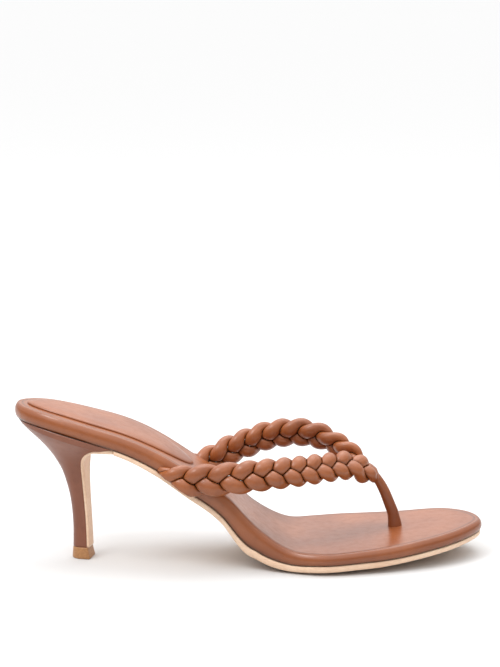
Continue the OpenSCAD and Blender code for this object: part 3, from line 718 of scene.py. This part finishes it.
MEDIAL = [
    (-40.5, 21, 45.4, 4, -292, 0.35), (-37.5, 23.4, 42.8, 5, -256, 0.6), (-33.5, 25, 40.4, 6, -206, 0.8),
    (-26, 25.6, 39.2, 8, -105, 0.92), (-18.5, 26.4, 42.6, 11, -5, 1), (-9.5, 28.4, 47.2, 15, 116, 1),
    (1, 30, 51.2, 19, 262, 1), (10, 30.5, 54.3, 23, 380, 1), (20, 29.8, 56.1, 26, 510, 1),
    (29, 27.7, 56.4, 30, 622, 1), (37, 24.6, 55, 34, 726, 0.98), (44, 20.8, 52.3, 39, 821, 0.95),
    (51.5, 15.9, 48.9, 44, 946, 0.9), (57, 11.4, 44.6, 46, 1030, 0.6),
]
SWING = 4.1             # how far a strand swings to either side of the strap's middle
RISE = 2.1              # how far it rises and dips as it crosses another
HALF_WIDE = 3.8         # half the width and thickness of a strand before it is pressed
HALF_THICK = 3.0
STRAP_STEPS = 24        # steps from one row of a strap's table to the next
RING_GAP = 0.45         # distance between a strand's rings
SIDES = 40              # points round a strand
NEARBY = 30             # rings to either side that may touch another strand
HALVINGS = 7            # tries at finding where a point meets another strand
# A strand's reach is 1 where it is free and less where it is pressed
FOLD_FROM, FOLD_OVER = 0.997, 0.08      # reach where the painted shade in a fold starts, and over how much
CREASE_FROM, CREASE_OVER = 0.99, 0.05   # the same for where the fold is sunk
CREASE_DEPTH = 0.04     # how far it is sunk, as a share of the strand
# Behind this x, fading in over this length, the strands' ends go in under the footbed
TUCK_X, TUCK_OVER = -24, 6
SEAM_SLACK = 0.2        # height over the seam where that starts
TUCK_MOST = 12          # greatest depth below it that counts
TUCK_IN, TUCK_UP = 2.4, 0.55    # how far a point goes inwards and up for each millimetre below


def strap_path(table, side):
    """The strap's middle line in even steps, with its frame and each strand's own line."""
    rough_length = np.linalg.norm(np.diff(np.array(table)[:, :3], axis=0), axis=1).sum()
    line = by_length(smooth_curve(table, STRAP_STEPS), int(rough_length / RING_GAP))
    middle, lean, turn, share = line[:, :3], np.radians(line[:, 3:4]), line[:, 4], line[:, 5:6]
    along = unit(np.gradient(middle, axis=0))
    inward = unit(side * np.cross([0, 0, 1], along))
    upright = unit(np.array([0, 0, 1]) - along[:, 2:3] * along)
    across = unit(np.cos(lean) * upright + np.sin(lean) * inward)
    out = np.cross(along, across)
    strands = []
    for place in range(3):
        phase = np.radians(turn + 120 * place)[:, None]
        centre = middle + share * (SWING * np.sin(phase) * across + RISE * np.sin(2 * phase) * out)
        way = unit(np.gradient(centre, axis=0))
        thick = unit(out - (out * way).sum(1, keepdims=True) * way)
        wide = np.cross(way, thick)
        strands.append({"centre": centre, "wide": wide, "thick": thick, "share": share})
    return strands


def closeness(points, rows, other):
    """How far the points are from another strand, as a share of its size: under 1 is inside it.
    rows are the ring numbers that the points belong to."""
    last = len(other["centre"]) - 1
    best = np.full(len(points), 1e9)
    nearest = np.zeros(len(points), int)
    for step in range(-NEARBY, NEARBY + 1):
        ring = np.clip(rows + step, 0, last)
        distance = ((points - other["centre"][ring]) ** 2).sum(1)
        closer = distance < best
        best[closer] = distance[closer]
        nearest[closer] = ring[closer]
    offset = points - other["centre"][nearest]
    size = other["share"][nearest, 0]
    wide = (offset * other["wide"][nearest]).sum(1) / (HALF_WIDE * size)
    thick = (offset * other["thick"][nearest]).sum(1) / (HALF_THICK * size)
    return np.hypot(wide, thick)


def pressed_strand(strand, others):
    """Rings of one strand, pressed flat where it meets the others, and how deep each point lies
    in a fold, which sets the painted shade there."""
    rings = len(strand["centre"])
    angle = np.arange(SIDES) * 2 * math.pi / SIDES
    spoke = (strand["share"][:, :, None] * (
        HALF_WIDE * np.cos(angle)[None, :, None] * strand["wide"][:, None, :]
        + HALF_THICK * np.sin(angle)[None, :, None] * strand["thick"][:, None, :])).reshape(-1, 3)
    centre = np.repeat(strand["centre"], SIDES, axis=0)
    rows = np.repeat(np.arange(rings), SIDES)
    reach = np.ones(len(spoke))
    for other in others:
        low, high = np.zeros(len(spoke)), reach.copy()
        touching = closeness(centre + high[:, None] * spoke, rows, other) < high
        pick = np.nonzero(touching)[0]
        low_part, high_part = low[pick], high[pick]
        for _ in range(HALVINGS):
            middle = (low_part + high_part) / 2
            clear = closeness(centre[pick] + middle[:, None] * spoke[pick], rows[pick], other) > middle
            low_part = np.where(clear, middle, low_part)
            high_part = np.where(clear, high_part, middle)
        reach[pick] = low_part
    reach = reach.reshape(rings, SIDES)
    reach = (2 * reach + np.roll(reach, 1, 1) + np.roll(reach, -1, 1)) / 4
    reach[1:-1] = (2 * reach[1:-1] + reach[:-2] + reach[2:]) / 4
    # Painted shade where the strand is pressed by another
    pressed_shade = np.clip((FOLD_FROM - reach) / FOLD_OVER, 0, 1)
    reach = reach - CREASE_DEPTH * np.clip((CREASE_FROM - reach) / CREASE_OVER, 0, 1)
    points = centre + reach.reshape(-1, 1) * spoke
    return points.reshape(rings, SIDES, 3), pressed_shade


def tucked_in(points, side):
    """Strand points below the seam under the footbed, moved inwards and up, towards the place
    between footbed and outsole. The ends of the far strap's strands a and b don't get high enough:
    a little of each, under 1 mm, comes out below the outsole."""
    seam = under_z(points[..., 0], wall_at(points[..., 0])) + SEAM_SLACK
    below = np.clip(seam - points[..., 2], 0, TUCK_MOST)
    fade = ease((TUCK_X - points[..., 0]) / TUCK_OVER)
    points[..., 1] += side * TUCK_IN * below * fade
    points[..., 2] += TUCK_UP * below * fade
    return points


def make_strap(name, table, side):
    """Three padded strands; side is 1 for the near strap and -1 for the far one."""
    strands = strap_path(table, side)
    for place, letter in enumerate("abc"):
        others = [strands[(place + 1) % 3], strands[(place + 2) % 3]]
        rings, pressed_shade = pressed_strand(strands[place], others)
        rings = tucked_in(rings, side)
        points, faces = loft(rings)
        node = f"{name}_strand_{letter}"
        piece = make_piece(f"{node}.padded", points, faces, "strap_leather")
        mesh = piece.data
        # The painted shade of the folds, kept on the points
        values = np.concatenate([pressed_shade.ravel(), [0, 0]]).astype(np.float32)
        mesh.attributes.new("pressed_shade", "FLOAT", "POINT").data.foreach_set("value", values)
        add_strand_uv(mesh, rings)
        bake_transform(piece)
        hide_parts(node)


def add_strand_uv(mesh, rings):
    """A map of the strand in metres: along it, and round it."""
    count = rings.shape[1]
    total = rings.shape[0] * count
    steps = np.linalg.norm(np.diff(rings.mean(1), axis=0), axis=1)
    along = np.concatenate([[0], np.cumsum(steps)]) * MM
    layer = mesh.uv_layers.new(name="strand")
    girth = 2 * math.pi * math.sqrt(HALF_WIDE * HALF_THICK) * MM
    for face in mesh.polygons:
        spots = [mesh.loops[i].vertex_index for i in face.loop_indices]
        crosses = any(s % count == 0 for s in spots) and any(s % count > count / 2 for s in spots)
        for loop, spot in zip(face.loop_indices, spots):
            row, turn = divmod(min(spot, total - 1), count)
            turn += count if crosses and turn < count / 2 else 0
            layer.data[loop].uv = (along[row], turn / count * girth)


# ---- Collar and toe post ----
# Each row: x, y, z of the post's middle line, and its radius
POST = [
    (73.6, 7.6, 12.6, 3.55), (73.4, 7.6, 14.6, 3.35), (72.9, 7.6, 17.4, 3.0), (72.3, 7.6, 20.2, 2.85),
    (70.3, 7.5, 25.4, 2.75), (68.3, 7.5, 30.4, 2.6), (66, 7.4, 34.9, 2.45), (63.5, 7.3, 38.6, 2.4),
    (60.8, 7.4, 41.6, 2.5),
]
TUBE_STEPS = 12         # steps from one row of a tube's table to the next
POST_SIDES = 48
FILLER_RADIUS = 1.55


def tube_rings(table, steps, sides, shape):
    """Rings round a line of x, y, z and radius. shape(share along, angle) scales the radius."""
    line = by_length(smooth_curve(table, TUBE_STEPS), steps)
    middle, radius = line[:, :3], line[:, 3]
    way = unit(np.gradient(middle, axis=0))
    side = unit(np.cross([0, 1, 0], way))
    front = np.cross(way, side)
    angle = np.arange(sides) * 2 * math.pi / sides
    share = np.linspace(0, 1, steps)
    scale = radius[:, None] * shape(share[:, None], angle[None, :])
    spoke = (np.cos(angle)[None, :, None] * front[:, None, :]
             + np.sin(angle)[None, :, None] * side[:, None, :])
    return middle[:, None, :] + scale[:, :, None] * spoke


def post_shape(share, angle):
    """A rolled tube: a lapped seam that winds round it, and soft folds near both ends."""
    turned = angle - 2.2 - 1.6 * share
    lap = (turned / (2 * math.pi)) % 1
    step = 0.07 * (lap - 0.5) * ease(np.minimum(lap, 1 - lap) / 0.02)
    folds = 0.025 * np.sin(3 * angle + 7 * share) * (1 - ease(share / 0.25))
    twist = 0.03 * np.sin(2 * angle + 9 * share) * ease((share - 0.45) / 0.3)
    return 1 + step + folds + twist


def cord_shape(share, angle):
    """Three twisted yarns."""
    return 1 + 0.08 * np.cos(3 * angle + 40 * share)


def make_toe_post():
    """The rolled leather post and the cord that fills it."""
    rings = tube_rings(POST, 90, POST_SIDES, post_shape)
    points, faces = loft(rings)
    post = make_piece("toe_post", points, faces, "strap_leather")
    post.data.attributes.new("pressed_shade", "FLOAT", "POINT")
    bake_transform(post)
    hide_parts("toe_post_cover")
    core = [(x, y, z, FILLER_RADIUS) for x, y, z, _ in POST[1:-2]]
    points, faces = loft(tube_rings(core, 70, POST_SIDES // 2, cord_shape))
    filler = make_piece("toe_post_filler", points, faces, "cord")
    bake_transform(filler)
    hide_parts("toe_post_cord")


COLLAR = [
    (57.2, 6.2, 44.2, 2.2), (58.8, 6.8, 43.0, 3.7), (60.4, 7.2, 41.4, 4.2), (61.8, 7.4, 39.8, 4.0),
    (63.2, 7.4, 38.0, 3.4), (64.2, 7.4, 36.4, 2.4),
]


def collar_shape(share, angle):
    """Two turns of a leather band round the strap ends."""
    turns = 0.5 + 0.5 * np.cos(2 * math.pi * 2.2 * share + angle)
    return 0.95 + 0.07 * turns ** 3 + 0.14 * np.cos(2 * angle)


def make_collar():
    points, faces = loft(tube_rings(COLLAR, 60, POST_SIDES, collar_shape))
    collar = make_piece("strap_collar", points, faces, "strap_leather", "straps")
    collar.data.attributes.new("pressed_shade", "FLOAT", "POINT")
    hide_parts("braid_collar")


make_footbed()
make_outsole()
make_heel_pad()
make_heel()
make_breast()
make_top_piece()
make_strap("lateral", LATERAL, 1)
make_strap("medial", MEDIAL, -1)
make_toe_post()
make_collar()


# ---- Floor, light and camera ----
FLOOR_SIDE, FLOOR_BACK = 3.0, 12.0      # metres from the sandal to the floor's near and far edges


def make_floor():
    corners = [(-FLOOR_SIDE, -FLOOR_SIDE, 0), (FLOOR_SIDE, -FLOOR_SIDE, 0),
               (FLOOR_SIDE, FLOOR_BACK, 0), (-FLOOR_SIDE, FLOOR_BACK, 0)]
    mesh = bpy.data.meshes.new("floor")
    mesh.from_pydata(corners, [], [(0, 1, 2, 3)])
    floor = bpy.data.objects.new("floor", mesh)
    bpy.context.scene.collection.objects.link(floor)
    material, nodes, links, shader = new_material("floor")
    shader.inputs["Base Color"].default_value = (0.6, 0.6, 0.6, 1)
    shader.inputs["Roughness"].default_value = 1.0
    shader.inputs["Specular IOR Level"].default_value = 0.0
    mesh.materials.append(material)


def make_light(name, place, aim, size, power):
    """A round lamp of a size in metres and a power in watts."""
    light = bpy.data.lights.new(name, "AREA")
    light.shape = "DISK"
    light.size = size
    light.energy = power
    lamp = bpy.data.objects.new(name, light)
    bpy.context.scene.collection.objects.link(lamp)
    lamp.location = place
    lamp.rotation_mode = "QUATERNION"
    lamp.rotation_quaternion = (aim - Vector(place)).to_track_quat("-Z", "Y")


def make_world():
    """A white studio: a bright ceiling, a bright wall behind the sandal and a dim room in front."""
    world = bpy.data.worlds.new("studio")
    world.use_nodes = True
    bpy.context.scene.world = world
    nodes, links = world.node_tree.nodes, world.node_tree.links
    parts = nodes.new("ShaderNodeSeparateXYZ")
    links.new(nodes.new("ShaderNodeTexCoord").outputs["Generated"], parts.inputs["Vector"])
    ceiling = to_range(nodes, links, parts.outputs["Z"], 0.1, 0.9, 0.2, 2.1)
    back_wall = to_range(nodes, links, parts.outputs["Y"], 0.2, 0.9, 0.0, 0.55)
    total = nodes.new("ShaderNodeMath")
    total.operation = "ADD"
    links.new(ceiling, total.inputs[0])
    links.new(back_wall, total.inputs[1])
    links.new(total.outputs[0], nodes["Background"].inputs["Strength"])
    nodes["Background"].inputs["Color"].default_value = (1, 1, 1, 1)


CAMERA_TARGET = Vector((0, 0, 0.03))
CAMERA_DISTANCE = 1.2
CAMERA_AZIMUTH = math.radians(-0.4)
CAMERA_RISE = math.radians(14.53)
AIM_UP = math.radians(3.891)
AIM_LEFT = math.radians(-0.029)
SENSOR_WIDTH, LENS = 36, 129.54         # millimetres


def direction(azimuth, rise):
    """Unit vector from the object towards a camera at this angle."""
    return Vector((math.sin(azimuth) * math.cos(rise), -math.cos(azimuth) * math.cos(rise), math.sin(rise)))


def make_camera():
    data = bpy.data.cameras.new("camera")
    camera = bpy.data.objects.new("camera", data)
    bpy.context.scene.collection.objects.link(camera)
    data.sensor_width = SENSOR_WIDTH
    data.lens = LENS
    data.clip_start = 0.05
    data.clip_end = 30
    camera.location = CAMERA_TARGET + CAMERA_DISTANCE * direction(CAMERA_AZIMUTH, CAMERA_RISE)
    camera.rotation_mode = "QUATERNION"
    aim = direction(CAMERA_AZIMUTH + AIM_LEFT, CAMERA_RISE - AIM_UP)
    camera.rotation_quaternion = (-aim).to_track_quat("-Z", "Y")
    bpy.context.scene.camera = camera


make_floor()
make_world()
make_light("key", (-0.45, -0.35, 0.9), CAMERA_TARGET, 0.4, 4)
make_light("top", (0.15, 0.3, 1.1), CAMERA_TARGET, 0.8, 4)
make_camera()
bpy.context.scene.view_settings.view_transform = "Standard"
